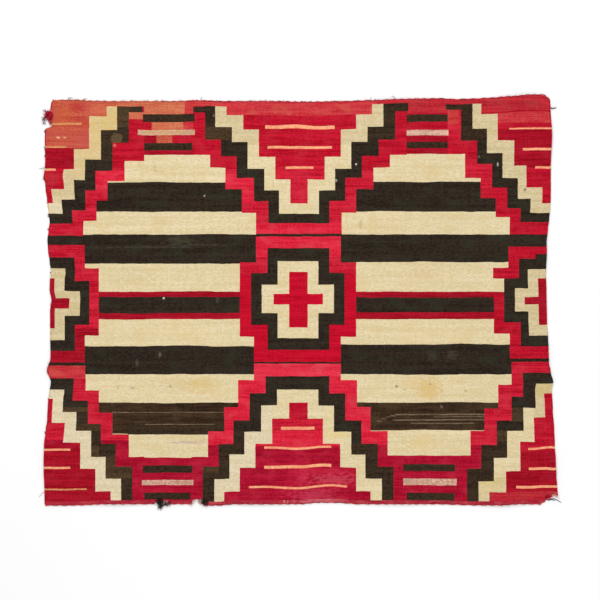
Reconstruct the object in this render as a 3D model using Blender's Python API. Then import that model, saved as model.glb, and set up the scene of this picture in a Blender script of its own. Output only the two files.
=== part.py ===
"""Chief blanket of the third phase, laid flat: woven web, selvage cords and frayed ends.

Frame: +X along the weft (the blanket's width), +Y along the warp (its height), +Z up.
The origin is under the middle of the blanket, on the surface that it lies on.
"""
import math

import bmesh
import bpy
import numpy as np

MM = 0.001

# ---- driving sizes (metres) ----
WIDTH = 1.750                # nominal width of the blanket, along the weft
HEIGHT = 1.400               # nominal height, along the warp
WEB_THICKNESS = 2.6 * MM     # weft-faced wool tapestry
CORD_DIAMETER = 4.4 * MM     # twined selvage cord
TUFT_THICKNESS = 3.0 * MM    # flattened bunch of loose yarn
YARN_RADIUS = 0.8            # of one loose yarn at a bunch's tips, in mm
GAP = 0.5 * MM               # between neighbouring pieces
LINE_STEP = 50 * MM          # between the lines of the web's mesh, away from worn places
LINE_CLEARANCE = 9 * MM      # a plain mesh line keeps this far from a line at a worn place
WEB_REACH = WIDTH / 2 - CORD_DIAMETER - GAP    # the web's half width, inside its cords
WEB_RISE = HEIGHT / 2 - CORD_DIAMETER - GAP    # the web's half height, inside its cords

# ---- the uneven outline ----
# Each row: (place along the edge, how far the edge stands out from the nominal rectangle), in mm.
# Places run from the middle of the blanket: to the right is +, upwards is +.
LEFT_EDGE = (
    (-700, 14), (-680, 14), (-569, 17), (-500, 16), (-448, 10), (-414, 5), (-344, 2), (-317, -3),
    (-282, -8), (-240, 5), (-199, -7), (-102, -5), (-39, -5), (2, -10), (37, -4), (71, -5),
    (99, -9), (134, -4), (175, 2), (210, 4), (245, 0), (273, -4), (304, 0), (335, 4), (349, 5),
    (383, 10), (404, 11), (428, 17), (460, 12), (487, 11), (557, 13), (588, 12), (598, 11),
    (604, -7), (640, -5), (662, -6), (700, -10),
)
RIGHT_EDGE = (
    (-700, 6), (-673, 16), (-646, 14), (-604, 10), (-552, 8), (-500, 5), (-448, 3), (-379, -2),
    (-310, -5), (-282, -1), (-247, -10), (-213, -16), (-171, -17), (-119, -19), (-67, -22),
    (37, -24), (89, -26), (176, -23), (200, -24), (252, -19), (279, -15), (331, -10), (366, -9),
    (470, -9), (574, -5), (654, -10), (681, -11), (700, -20),
)
TOP_EDGE = (
    (-875, -4), (-783, -3), (-731, -6), (-662, -8), (-454, -8), (-350, -5), (-263, -8), (-90, -8),
    (0, -10), (31, -10), (135, -8), (239, -5), (343, -1), (412, 1), (482, 2), (534, -1), (603, 1),
    (655, 4), (724, 9), (811, 15), (855, 15), (875, 9),
)
BOTTOM_EDGE = (
    (-875, 10), (-870, 11), (-800, 11), (-766, 10), (-679, 6), (-512, 6), (-500, 3), (-486, -3),
    (-470, 1), (-458, 6), (-383, 6), (-371, -7), (-345, -9), (-335, 2), (-326, 11), (-291, 11),
    (-229, 6), (-3, 6), (59, 1), (118, 1), (204, 6), (447, 6), (620, 10), (690, 10), (759, 6),
    (826, 7), (838, 2), (844, -10), (862, -18), (875, -20),
)

# ---- soft ripples where the edges stand a little off the surface ----
# Each row: (edge, place along it in mm, half length in mm, lift in mm)
RIPPLES = (
    ("left", 470, 130, 4.5), ("left", 60, 120, 2.5), ("left", -230, 100, 3.5),
    ("left", -560, 110, 3.0), ("right", 560, 140, 4.0), ("right", 180, 150, 3.0),
    ("right", -215, 130, 3.5), ("right", -580, 80, 3.5), ("top", -560, 170, 3.0),
    ("top", -150, 140, 2.5), ("top", 330, 170, 3.5), ("top", 760, 110, 4.0),
    ("bottom", -640, 120, 3.5), ("bottom", -150, 160, 3.0), ("bottom", 330, 170, 2.5),
    ("bottom", 700, 120, 4.0),
)
RIPPLE_REACH = 95 * MM       # how far a ripple runs in from its edge
EDGE_BLEND = 160 * MM        # how far in the uneven outline still moves the web's yarns

# Mesh lines at the worn places, so that the web and its cords bend at the same points (mm)
WORN_COLUMNS = (-512, -500, -486, -470, -458, -383, -371, -345, -335, -326, 826, 838, 844, 862)
WORN_ROWS = (-680, -673, 588, 598, 604, 615, 640, 662, 690)

# ---- selvage cords: (name, edge, from, to), places along the edge in mm ----
CORD_RUNS = (
    ("selvage_top", "top", -871, 869),
    ("selvage_right", "right", -688, 694),
    ("selvage_left_upper", "left", 664, 693),
    ("selvage_left_lower", "left", -694, 596),
    ("selvage_bottom_left", "bottom", -872, -506),
    ("selvage_bottom_middle", "bottom", -459, -383),
    ("selvage_bottom_right", "bottom", -326, 826),
)

# The loose tail of the right-hand cord: (x, y) in mm
CORD_TAIL = ((857, -692), (864, -689), (871, -687), (878, -687), (885, -690), (892, -694), (901, -699))

# Frayed bunches: the two ends of the root, how much of a finger's length is one body with its
# neighbours, a finger's width, and the fingers themselves: (share along the root, tip x, tip y), in mm.
TUFTS = {
    "tuft_left": {
        "root": ((-875, 657), (-875, 612)),
        "body": 0.55,
        "width": 8,
        "fingers": ((0.10, -894, 667), (0.34, -897, 647), (0.62, -904, 634), (0.92, -902, 608)),
    },
    "tuft_bottom_left": {
        "root": ((-501, -703), (-466, -703)),
        "body": 0.45,
        "width": 7,
        "fingers": ((0.18, -496, -713), (0.48, -485, -720), (0.92, -462, -713)),
    },
    "tuft_bottom_middle": {
        "root": ((-358, -696), (-336, -704)),
        "body": 0.45,
        "width": 6,
        "fingers": ((0.16, -354, -706), (0.55, -343, -711), (0.92, -335, -715)),
    },
}

# ---- colours (linear) ----
CRIMSON = (0.50, 0.010, 0.035)
DARK_CORD = (0.085, 0.012, 0.024)
FRAYED_RED = (0.34, 0.010, 0.030)
FRAYED_DARK = (0.030, 0.022, 0.020)


def clear_scene():
    for thing in list(bpy.data.objects):
        bpy.data.objects.remove(thing)


def ease(t):
    """Smooth step from 0 to 1."""
    t = min(max(t, 0.0), 1.0)
    return t * t * (3.0 - 2.0 * t)


def standout(rows, place):
    """How far an edge stands out at a place along it, in metres, eased between the table's rows."""
    places = [row[0] * MM for row in rows]
    if place <= places[0]:
        return rows[0][1] * MM
    for (start, first), (end, second) in zip(rows, rows[1:]):
        if place <= end * MM:
            share = ease((place - start * MM) / ((end - start) * MM))
            return (first + (second - first) * share) * MM
    return rows[-1][1] * MM


def lift(x, y):
    """Height of the cloth's underside: zero in the middle, soft ripples along the edges."""
    inward = {
        "left": x + WIDTH / 2, "right": WIDTH / 2 - x,
        "bottom": y + HEIGHT / 2, "top": HEIGHT / 2 - y,
    }
    height = 0.0
    for edge, place, half_length, rise in RIPPLES:
        along = y if edge in ("left", "right") else x
        off = abs(along - place * MM) / (half_length * MM)
        if off >= 1.0:
            continue
        crest = 0.5 + 0.5 * math.cos(math.pi * off)
        fade = 1.0 - ease(inward[edge] / RIPPLE_REACH)
        height += rise * MM * crest * fade
    return height


def line_places(reach, worn):
    """Sorted places of the mesh lines from -reach to reach, in metres."""
    cells = round(2 * reach / LINE_STEP)
    fixed = [place * MM for place in worn]
    plain = [place for place in np.linspace(-reach, reach, cells + 1)[1:-1]
             if all(abs(place - other) > LINE_CLEARANCE for other in fixed)]
    return sorted([-reach, reach] + fixed + plain)


def uneven(x, y):
    """A point of the nominal web moved out to the uneven outline, most at the edge itself."""
    left = -standout(LEFT_EDGE, y)
    right = standout(RIGHT_EDGE, y)
    bottom = -standout(BOTTOM_EDGE, x)
    top = standout(TOP_EDGE, x)
    near_left = 1.0 - ease((x + WEB_REACH) / EDGE_BLEND)
    near_right = 1.0 - ease((WEB_REACH - x) / EDGE_BLEND)
    near_bottom = 1.0 - ease((y + WEB_RISE) / EDGE_BLEND)
    near_top = 1.0 - ease((WEB_RISE - y) / EDGE_BLEND)
    return x + left * near_left + right * near_right, y + bottom * near_bottom + top * near_top


def edge_point(edge, place, outward):
    """A point beside the web's edge, at its place along the nominal edge, so far outward."""
    if edge == "left":
        x, y = uneven(-WEB_REACH, place)
        return x - outward, y
    if edge == "right":
        x, y = uneven(WEB_REACH, place)
        return x + outward, y
    if edge == "top":
        x, y = uneven(place, WEB_RISE)
        return x, y + outward
    x, y = uneven(place, -WEB_RISE)
    return x, y - outward


def principled(name, colour, roughness):
    material = bpy.data.materials.new(name)
    material.use_nodes = True
    shader = material.node_tree.nodes["Principled BSDF"]
    shader.inputs["Base Color"].default_value = (*colour, 1.0)
    shader.inputs["Roughness"].default_value = roughness
    shader.inputs["Metallic"].default_value = 0.0
    return material


def add_object(name, data, material):
    made = bpy.data.objects.new(name, data)
    made.data.materials.append(material)
    bpy.context.scene.collection.objects.link(made)
    return made


def build_web():
    """One closed sheet with the uneven outline, flat underneath apart from its ripples."""
    columns = line_places(WEB_REACH, WORN_COLUMNS)
    rows = line_places(WEB_RISE, WORN_ROWS)
    bm = bmesh.new()
    bmesh.ops.create_grid(bm, x_segments=len(columns) - 1, y_segments=len(rows) - 1, size=1.0)
    for vert in bm.verts:
        column = round((vert.co.x + 1.0) / 2.0 * (len(columns) - 1))
        row = round((vert.co.y + 1.0) / 2.0 * (len(rows) - 1))
        x, y = uneven(columns[column], rows[row])
        vert.co = (x, y, lift(x, y))
    under = list(bm.faces)
    raised = bmesh.ops.extrude_face_region(bm, geom=under)
    top_verts = [item for item in raised["geom"] if isinstance(item, bmesh.types.BMVert)]
    bmesh.ops.translate(bm, vec=(0.0, 0.0, WEB_THICKNESS), verts=top_verts)
    bmesh.ops.recalc_face_normals(bm, faces=list(bm.faces))
    mesh = bpy.data.meshes.new("blanket_web")
    bm.to_mesh(mesh)
    bm.free()
    add_object("blanket_web", mesh, principled("crimson wool", CRIMSON, 0.95))


def tube(name, points, material):
    """A capped round cord along its route's points."""
    curve = bpy.data.curves.new(name, "CURVE")
    curve.dimensions = "3D"
    curve.bevel_depth = CORD_DIAMETER / 2
    curve.bevel_resolution = 2
    curve.use_fill_caps = True
    spline = curve.splines.new("POLY")
    spline.points.add(len(points) - 1)
    for slot, (x, y, z) in zip(spline.points, points):
        slot.co = (x, y, z, 1.0)
    add_object(name, curve, material)


def build_selvage(name, edge, start, end):
    """A twined cord lying along its stretch of the edge, just outside the web."""
    start = start * MM
    end = end * MM
    radius = CORD_DIAMETER / 2
    if edge in ("left", "right"):
        lines = line_places(WEB_RISE, WORN_ROWS)
    else:
        lines = line_places(WEB_REACH, WORN_COLUMNS)
    places = [start] + [line for line in lines if start + MM < line < end - MM] + [end]
    points = []
    for place in places:
        x, y = edge_point(edge, place, radius + GAP)
        points.append((x, y, radius + lift(x, y)))
    tube(name, points, principled(name + " wool", DARK_CORD, 0.9))


def build_tuft(name, tuft, colour):
    """A flattened bunch of loose yarn: a comb of tapered fingers on one root."""
    (x0, y0), (x1, y1) = tuft["root"]
    length = math.hypot(x1 - x0, y1 - y0)
    along = ((x1 - x0) / length, (y1 - y0) / length)
    half = tuft["width"] / 2
    outline = [(x0, y0)]
    for share, tip_x, tip_y in tuft["fingers"]:
        foot_x = x0 + (x1 - x0) * share
        foot_y = y0 + (y1 - y0) * share
        waist_x = foot_x + (tip_x - foot_x) * tuft["body"]
        waist_y = foot_y + (tip_y - foot_y) * tuft["body"]
        outline.append((waist_x - along[0] * half, waist_y - along[1] * half))
        outline.append((tip_x - along[0] * YARN_RADIUS, tip_y - along[1] * YARN_RADIUS))
        outline.append((tip_x + along[0] * YARN_RADIUS, tip_y + along[1] * YARN_RADIUS))
        outline.append((waist_x + along[0] * half, waist_y + along[1] * half))
    outline.append((x1, y1))
    bm = bmesh.new()
    verts = [bm.verts.new((x * MM, y * MM, 0.0)) for x, y in outline]
    face = bm.faces.new(verts)
    raised = bmesh.ops.extrude_face_region(bm, geom=[face])
    top_verts = [item for item in raised["geom"] if isinstance(item, bmesh.types.BMVert)]
    bmesh.ops.translate(bm, vec=(0.0, 0.0, TUFT_THICKNESS), verts=top_verts)
    bmesh.ops.recalc_face_normals(bm, faces=list(bm.faces))
    mesh = bpy.data.meshes.new(name)
    bm.to_mesh(mesh)
    bm.free()
    add_object(name, mesh, principled(name + " yarn", colour, 0.95))


def build_blanket():
    clear_scene()
    build_web()
    for name, edge, start, end in CORD_RUNS:
        build_selvage(name, edge, start, end)
    tail = [(x * MM, y * MM, CORD_DIAMETER / 2) for x, y in CORD_TAIL]
    tube("cord_tail_lower_right", tail, principled("cord tail wool", DARK_CORD, 0.9))
    build_tuft("tuft_left", TUFTS["tuft_left"], FRAYED_RED)
    build_tuft("tuft_bottom_left", TUFTS["tuft_bottom_left"], FRAYED_DARK)
    build_tuft("tuft_bottom_middle", TUFTS["tuft_bottom_middle"], FRAYED_DARK)


build_blanket()
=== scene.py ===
"""The looks of the chief blanket: its woven web, twined selvage cords and frayed ends.

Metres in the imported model's frame: +X along the weft, +Y along the warp, +Z up out of the face.
The chart of the weave is in millimetres from the blanket's middle, as the cloth lies.
"""

import math
import random

import bmesh
import bpy
import numpy as np
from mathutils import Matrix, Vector
from mathutils import noise as perlin


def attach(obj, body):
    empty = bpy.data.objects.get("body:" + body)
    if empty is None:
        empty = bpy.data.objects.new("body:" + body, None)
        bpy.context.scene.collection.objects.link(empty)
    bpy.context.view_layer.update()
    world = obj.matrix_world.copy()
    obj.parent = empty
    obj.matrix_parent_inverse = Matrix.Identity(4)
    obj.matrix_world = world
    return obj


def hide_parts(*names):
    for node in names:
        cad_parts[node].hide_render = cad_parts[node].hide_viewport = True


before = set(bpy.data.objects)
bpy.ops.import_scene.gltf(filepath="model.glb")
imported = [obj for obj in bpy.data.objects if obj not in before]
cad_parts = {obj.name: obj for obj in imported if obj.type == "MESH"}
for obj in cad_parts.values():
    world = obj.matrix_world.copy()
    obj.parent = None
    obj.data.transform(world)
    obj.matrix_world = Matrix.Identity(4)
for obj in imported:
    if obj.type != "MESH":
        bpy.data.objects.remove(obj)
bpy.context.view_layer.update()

MM = 0.001

# ---- sizes of the part (metres) ----
WIDTH = 1.750                # nominal width of the blanket, along the weft
HEIGHT = 1.400               # nominal height, along the warp
WEB_THICKNESS = 2.6 * MM
CORD_DIAMETER = 4.4 * MM
GAP = 0.5 * MM
WEB_REACH = WIDTH / 2 - CORD_DIAMETER - GAP
WEB_RISE = HEIGHT / 2 - CORD_DIAMETER - GAP

# ---- the uneven outline: (place along the edge, how far the edge stands out), in mm ----
LEFT_EDGE = (
    (-700, 14), (-680, 14), (-569, 17), (-500, 16), (-448, 10), (-414, 5), (-344, 2), (-317, -3),
    (-282, -8), (-240, 5), (-199, -7), (-102, -5), (-39, -5), (2, -10), (37, -4), (71, -5),
    (99, -9), (134, -4), (175, 2), (210, 4), (245, 0), (273, -4), (304, 0), (335, 4), (349, 5),
    (383, 10), (404, 11), (428, 17), (460, 12), (487, 11), (557, 13), (588, 12), (598, 11),
    (604, -7), (640, -5), (662, -6), (700, -10),
)
RIGHT_EDGE = (
    (-700, 6), (-673, 16), (-646, 14), (-604, 10), (-552, 8), (-500, 5), (-448, 3), (-379, -2),
    (-310, -5), (-282, -1), (-247, -10), (-213, -16), (-171, -17), (-119, -19), (-67, -22),
    (37, -24), (89, -26), (176, -23), (200, -24), (252, -19), (279, -15), (331, -10), (366, -9),
    (470, -9), (574, -5), (654, -10), (681, -11), (700, -20),
)
TOP_EDGE = (
    (-875, -4), (-783, -3), (-731, -6), (-662, -8), (-454, -8), (-350, -5), (-263, -8), (-90, -8),
    (0, -10), (31, -10), (135, -8), (239, -5), (343, -1), (412, 1), (482, 2), (534, -1), (603, 1),
    (655, 4), (724, 9), (811, 15), (855, 15), (875, 9),
)
BOTTOM_EDGE = (
    (-875, 10), (-870, 11), (-800, 11), (-766, 10), (-679, 6), (-512, 6), (-500, 3), (-486, -3),
    (-470, 1), (-458, 6), (-383, 6), (-371, -7), (-345, -9), (-335, 2), (-326, 11), (-291, 11),
    (-229, 6), (-3, 6), (59, 1), (118, 1), (204, 6), (447, 6), (620, 10), (690, 10), (759, 6),
    (826, 7), (838, 2), (844, -10), (862, -18), (875, -20),
)
BOTTOM_UNWORN = tuple(row for row in BOTTOM_EDGE if row[0] not in (
    -500, -486, -470, -371, -345, -335, 838, 844, 862, 875))   # the same edge before it wore away
EDGE_BLEND = 160 * MM        # how far in the uneven outline still moves the yarns
BITE_SOFTNESS = 2 * MM       # how far in a worn place still crowds the wefts

# ---- soft ripples along the edges: (edge, place in mm, half length in mm, lift in mm) ----
RIPPLES = (
    ("left", 470, 130, 4.5), ("left", 60, 120, 2.5), ("left", -230, 100, 3.5),
    ("left", -560, 110, 3.0), ("right", 560, 140, 4.0), ("right", 180, 150, 3.0),
    ("right", -215, 130, 3.5), ("right", -580, 80, 3.5), ("top", -560, 170, 3.0),
    ("top", -150, 140, 2.5), ("top", 330, 170, 3.5), ("top", 760, 110, 4.0),
    ("bottom", -640, 120, 3.5), ("bottom", -150, 160, 3.0), ("bottom", 330, 170, 2.5),
    ("bottom", 700, 120, 4.0),
)
RIPPLE_REACH = 95 * MM

# ---- selvage cords: (name, edge, from, to), places along the edge in mm ----
CORD_RUNS = (
    ("selvage_top", "top", -871, 869),
    ("selvage_right", "right", -688, 694),
    ("selvage_left_upper", "left", 664, 693),
    ("selvage_left_lower", "left", -694, 596),
    ("selvage_bottom_left", "bottom", -872, -506),
    ("selvage_bottom_middle", "bottom", -459, -383),
    ("selvage_bottom_right", "bottom", -326, 826),
)
CORD_TAIL = ((857, -692), (864, -689), (871, -687), (878, -687), (885, -690), (892, -694), (901, -699))
STRAND_RADIUS = 1.25 * MM    # one of the two strands that are twined into a cord
SIDE_TWIST = 11 * MM         # length of one full twist of a side cord
END_TWIST = 17 * MM          # and of an end cord, which is laid more loosely
TWIST_POINTS = 8             # curve points in one twist

# ---- mesh of the web ----
WORN_COLUMNS = (-512, -500, -486, -470, -458, -383, -371, -345, -335, -326, 826, 838, 844, 862)
WORN_ROWS = (-680, -673, 588, 598, 604, 615, 640, 662, 690)
LINE_MERGE = 2.0 * MM        # chart lines nearer than this share one mesh line
LOT_MERGE = 5 * MM           # a change of dye lot goes to a mesh line that is this near
LINE_LONGEST = 24 * MM       # widest cell between two mesh lines
TUCK = 1.0 * MM              # how far the web's rim runs in under its cords

# ---- the chart of the weave (mm) ----
FAR = 950                    # past every edge, for a colour that runs off the cloth
SHOWN = 22                   # half of the usual step of a motif, which shows beside the next step
SHOWN_WIDE = 860             # how far from the middle a colour's line still shows, along the weft
SHOWN_HIGH = 685             # and along the warp
HALVES_MEET = -10            # where the left half of the stripes meets the right half
# Where the motifs stop under the upper border: (left, right, height of the line)
TOP_BORDER = ((-FAR, -10, 672.5), (-10, 240, 683.5), (240, 440, 683.5), (440, FAR, 683.5))
LOW_BORDER = -691            # where they stop above the lower border
LOW_PARTS = (-FAR, -700, -300, 300, 700, FAR)   # the lower border follows its edge part by part

# Full-width stripes: (yarn, upper side on the left, upper side on the right); each runs to the next
STRIPES = (
    ("crimson", FAR, FAR), ("ivory", 505, 508), ("black", 409, 412), ("ivory", 308, 308),
    ("black", 229, 228), ("ivory", 128, 133), ("deep_crimson", 31, 30), ("black", 13, 11),
    ("deep_crimson", -43, -40), ("ivory", -64, -63), ("black", -158, -152), ("ivory", -255, -256),
    ("brown", -353, -351), ("ivory", -461, -449), ("crimson", -544, -536),
)

# Short bars in the four red fields: (yarn, left, right, upper side, lower side)
BARS = (
    ("dark_umber", -548, -368, 645, 618), ("dark_umber", 366, 508, 645, 618),
    ("grey_pink", -565, -367, 591, 573), ("grey_pink", 367, 511, 591, 572),
    ("dark_umber", -542, -376, 546, 521), ("dark_umber", 366, 507, 550, 528),
    ("dark_umber", -548, -376, -569, -596), ("dark_umber", 354, 535, -566, -590),
    ("grey_pink", -551, -374, -621, -640), ("grey_pink", 353, 539, -616, -637),
    ("dark_umber", -542, -383, -665, -688), ("dark_umber", 367, 532, -665, -690),
)

RINGS = ("crimson", "ivory", "black", "rim_red")   # from the middle of a motif outwards
CORNER_RINGS = ("crimson", "old_ivory", "black", "rim_red")

# Half lozenges in the middle of the upper and lower sides: at each step, the left side, right side
# and inner end of the field, ivory, black and red
UPPER_HALF = (
    ((-258, 246, 641), (-297, 285, 599), (-332, 327, 557), (-373, 366, 505)),
    ((-200, 191, 593), (-239, 230, 549), (-277, 269, 501), (-315, 309, 461)),
    ((-146, 138, 498), (-185, 174, 458), (-223, 211, 425), (-262, 251, 386)),
    ((-89, 82, 420), (-128, 118, 382), (-164, 153, 345), (-205, 191, 304)),
    ((-37, 23, 337), (-76, 62, 301), (-113, 98, 268), (-156, 141, 231)),
)
LOWER_HALF = (
    ((-41, 22, -352), (-83, 61, -308), (-122, 97, -262), (-163, 138, -218)),
    ((-100, 76, -409), (-138, 114, -363), (-178, 154, -321), (-218, 194, -275)),
    ((-158, 136, -495), (-196, 173, -454), (-234, 209, -414), (-266, 241, -369)),
    ((-212, 191, -579), (-248, 223, -533), (-285, 266, -496), (-322, 301, -451)),
    ((-266, 241, -660), (-301, 281, -618), (-341, 321, -576), (-379, 354, -541)),
)

# Quarter lozenges in the corners: each step's (side, end) of the field, ivory, black and red
UPPER_LEFT = (
    ((-673, 637), (-637, 590), (-595, 545), (-543, 483)),
    ((-734, 526), (-693, 489), (-653, 450), (-611, 414)),
    ((-787, 454), (-747, 418), (-712, 382), (-670, 347)),
    ((-821, 386), (-785, 350), (-746, 313), (-708, 277)),
    ((-861, 337), (-828, 302), (-792, 266), (-754, 225)),
)
UPPER_RIGHT = (
    ((625, 645), (594, 597), (554, 554), (508, 508)),
    ((681, 555), (644, 511), (610, 474), (568, 425)),
    ((738, 468), (698, 426), (662, 392), (622, 355)),
    ((782, 391), (751, 353), (714, 320), (674, 290)),
    ((834, 337), (795, 304), (760, 272), (722, 229)),
)
LOWER_LEFT = (
    ((-859, -340), (-822, -308), (-786, -269), (-747, -225)),
    ((-820, -423), (-778, -385), (-738, -346), (-700, -311)),
    ((-765, -492), (-727, -451), (-693, -428), (-653, -390)),
    ((-712, -583), (-677, -540), (-642, -497), (-596, -463)),
    ((-659, -660), (-623, -617), (-584, -576), (-544, -540)),
)
LOWER_RIGHT = (
    ((843, -322), (811, -287), (771, -250), (729, -212)),
    ((807, -405), (771, -371), (730, -332), (683, -291)),
    ((759, -488), (716, -452), (678, -414), (635, -373)),
    ((710, -590), (668, -546), (624, -500), (587, -452)),
    ((652, -665), (615, -626), (575, -582), (534, -540)),
)

# Crosses, from the outermost ring inwards: (yarn, left, right, upper side, lower side)
MIDDLE_CROSS = (
    ("black", -156, 141, 231, 222),
    ("rim_red", -156, 138, 222, -125), ("rim_red", -162, 138, -125, -211),
    ("rim_red", -211, 190, 132, -125),
    ("black", -115, 98, 182, -170), ("black", -173, 151, 96, -84),
    ("ivory", -81, 60, 137, -130), ("ivory", -136, 113, 55, -44),
    ("clear_red", -42, 23, 99, -93), ("clear_red", -95, 76, 24, -13),
)
LEFT_CROSS = (
    ("rim_red", -FAR, -748, 193, -214), ("rim_red", -FAR, -699, 112, -121),
    ("black", -FAR, -782, 150, -174), ("black", -FAR, -731, 68, -83),
    ("old_ivory", -FAR, -815, 111, -137), ("old_ivory", -FAR, -765, 33, -53),
    ("deep_crimson", -FAR, -849, 77, -96), ("deep_crimson", -FAR, -802, 8, -28),
)
RIGHT_CROSS = (
    ("rim_red", 718, FAR, 187, 77), ("rim_red", 665, FAR, 114, 77),
    ("rim_red", 668, FAR, 28, -114), ("rim_red", 723, FAR, -114, -200),
    ("black", 812, FAR, 161, 145), ("black", 755, FAR, 145, 76),
    ("black", 703, FAR, 76, -74), ("black", 761, FAR, -74, -159),
    ("old_ivory", 788, FAR, 109, -120), ("old_ivory", 740, FAR, 43, -37),
    ("deep_crimson", 823, FAR, 78, -83), ("deep_crimson", 775, FAR, 15, -15),
)

# The first black step beside each half and quarter lozenge of the upper side
FIRST_STEPS = (
    ("dark_umber", -374, -300, 672.5, 652), ("dark_umber", 290, 371, 683.5, 656),
    ("dark_umber", -597, -548, 672.5, 652), ("dark_umber", 502, 560, 683.5, 661),
)

# Thin gold lines in the red fields: (yarn, left, right, middle, width)
GOLD_LINES = (
    ("gold", -124, 116, 601, 10.5), ("gold", -116, 107, 530, 9.0), ("gold", -53, 43, 461, 8.0),
    ("gold", -69, 47, -442, 10.0), ("gold", -127, 105, -509, 7.5), ("gold", -127, 105, -576, 10.5),
    ("gold", -180, 159, -646, 7.5),
    ("dull_gold", -870, -759, 612, 9.0), ("dull_gold", -887, -813, 532, 7.0), ("gold", -885, -849, 454, 8.5),
    ("gold", 721, 866, 597, 6.5), ("gold", 768, 865, 524, 7.8), ("gold", 811, 865, 460, 7.2),
    ("gold", -890, -799, -517, 6.0), ("gold", -892, -800, -579, 8.3), ("dull_gold", -890, -742, -654, 5.5),
    ("gold", 787, 880, -510, 9.0), ("gold", 788, 882, -583, 8.7), ("gold", 745, 890, -643, 7.5),
)

# Lines of another dye lot inside the brown stripes: (yarn, left, right, upper side, lower side)
TAN_LINES = (
    ("tan", -655, -258, -385.5, -388.5), ("dark_umber", -600, -258, -430, -463),
    ("tan", -540, -300, -427, -430),
    ("dark_umber", 300, 640, -407, -431), ("tan", 326, 640, -392, -396.5), ("tan", 460, 640, -400.5, -404),
    ("tan", 308, 326, -396.5, -400), ("tan", 294, 308, -401, -404.5), ("tan", 280, 294, -407, -411),
    ("tan", 262, 280, -415, -419), ("tan", 320, 640, -411, -414), ("tan", 380, 600, -423, -426),
)

# Where a yarn changes to another dye lot of its colour: (yarn, lot, left, right, upper, lower side)
DYE_LOTS = (
    # upper border and the fields under it
    ("crimson", "salmon", -FAR, -640, FAR, 527),
    ("crimson", "sun_faded", -762, -403, FAR, 646),
    ("crimson", "orange_red", -403, -310, FAR, 660), ("crimson", "pale_red", -310, -270, FAR, 660),
    ("crimson", "pale_red", -403, 262, FAR, 642),
    ("crimson", "faded_red", 262, FAR, FAR, 646),
    ("crimson", "pale_red", 600, FAR, 646, 612),
    ("rim_red", "sun_faded", -600, -545, 653, 628),
    ("rim_red", "orange_red", 506, 545, 661, 610),
    ("crimson", "sun_faded", -517, -408, 618, 591),
    ("crimson", "pale_red", -408, -367, 646, 591),
    ("crimson", "salmon", -503, -446, 573, 546),
    ("crimson", "deep_crimson", -566, -446, 573, 546),
    ("crimson", "deep_crimson", -560, -370, 521, 500),
    ("crimson", "deep_crimson", 366, 508, 572, 550),
    ("crimson", "deep_crimson", 366, 508, 528, 500),
    ("crimson", "deep_crimson", -FAR, -746, 527, 458),
    ("crimson", "deep_crimson", 650, FAR, 592, 463),
    # rings of the upper half
    ("rim_red", "crimson", -380, 380, 660, 458),
    ("rim_red", "bright_red", -300, -160, 440, 340),
    ("rim_red", "bright_red", -160, 145, 268, 231),
    ("crimson", "rim_red", -150, 150, 470, 330),
    ("rim_red", "crimson", -FAR, -520, 628, 454),
    ("rim_red", "bright_red", -770, -600, 450, 385),
    ("rim_red", "crimson", 500, FAR, 560, 474),
    ("rim_red", "crimson", 560, FAR, 392, 225),
    # the crosses and what lies beside them
    ("rim_red", "bright_red", -160, 145, 222, 150),
    ("rim_red", "clear_red", -215, 195, 88, -211),
    ("rim_red", "deep_crimson", -FAR, -690, -100, -214),
    ("rim_red", "pale_red", -FAR, -745, -225, -269),
    ("rim_red", "crimson", 710, FAR, 190, 120),
    ("rim_red", "crimson", 660, FAR, 120, 77),
    ("rim_red", "crimson", 660, FAR, 28, -200),
    ("rim_red", "pink_red", -165, 145, -215, -263),
    ("rim_red", "bright_red", -330, 310, -263, -500),
    # lower fields
    ("crimson", "rim_red", -FAR, -790, -423, -498),
    ("crimson", "rim_red", -160, 140, -409, -452),
    ("crimson", "bright_red", -160, 140, -452, -503),
    ("rim_red", "wine", -FAR, -590, -483, -FAR),
    ("crimson", "wine", -320, 300, -503, -691),
    ("rim_red", "wine", -FAR, FAR, -500, -FAR),
    ("crimson", "deep_crimson", -FAR, -640, -498, -691),
    ("crimson", "deep_crimson", 700, FAR, -522, -664),
    ("crimson", "faded_red", 640, FAR, -664, -691),
    ("crimson", "wine", -560, 560, -536, -691),
    ("crimson", "lower_band", -FAR, FAR, -691, -FAR),
    # browner steps of the outer rings
    ("black", "umber", -640, -540, 680, 599), ("black", "dark_umber", -700, -540, 599, 485),
    ("black", "dark_umber", -380, 380, 690, 599), ("black", "umber", -345, -230, 599, 556),
    ("black", "dark_umber", 220, 345, 599, 556), ("black", "dark_umber", 500, 660, 690, 552),
    ("black", "umber", -830, -735, -366, -385), ("black", "umber", -780, -690, -427, -450),
    ("black", "umber", -740, -700, -502, -541),
    ("black", "umber", -700, -580, -541, -617), ("black", "dark_umber", -780, -540, -385, -691),
    ("black", "umber", -350, -290, -575, -600),
    ("black", "dark_umber", -390, -170, -455, -691), ("black", "dark_umber", 165, 390, -497, -691),
    ("black", "umber", 722, 780, -371, -418), ("black", "umber", 670, 725, -449, -487),
    ("black", "dark_umber", 520, 720, -487, -691),
    # greyer and paler ivory
    ("ivory", "old_ivory", -320, 320, 690, 540), ("old_ivory", "pale_ivory", -FAR, -785, 337, 290),
    ("old_ivory", "pale_ivory", -FAR, -620, -260, -691), ("ivory", "pale_ivory", -310, -92, -365, -691),
    ("old_ivory", "ivory", 655, 812, -360, -610),
)

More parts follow.
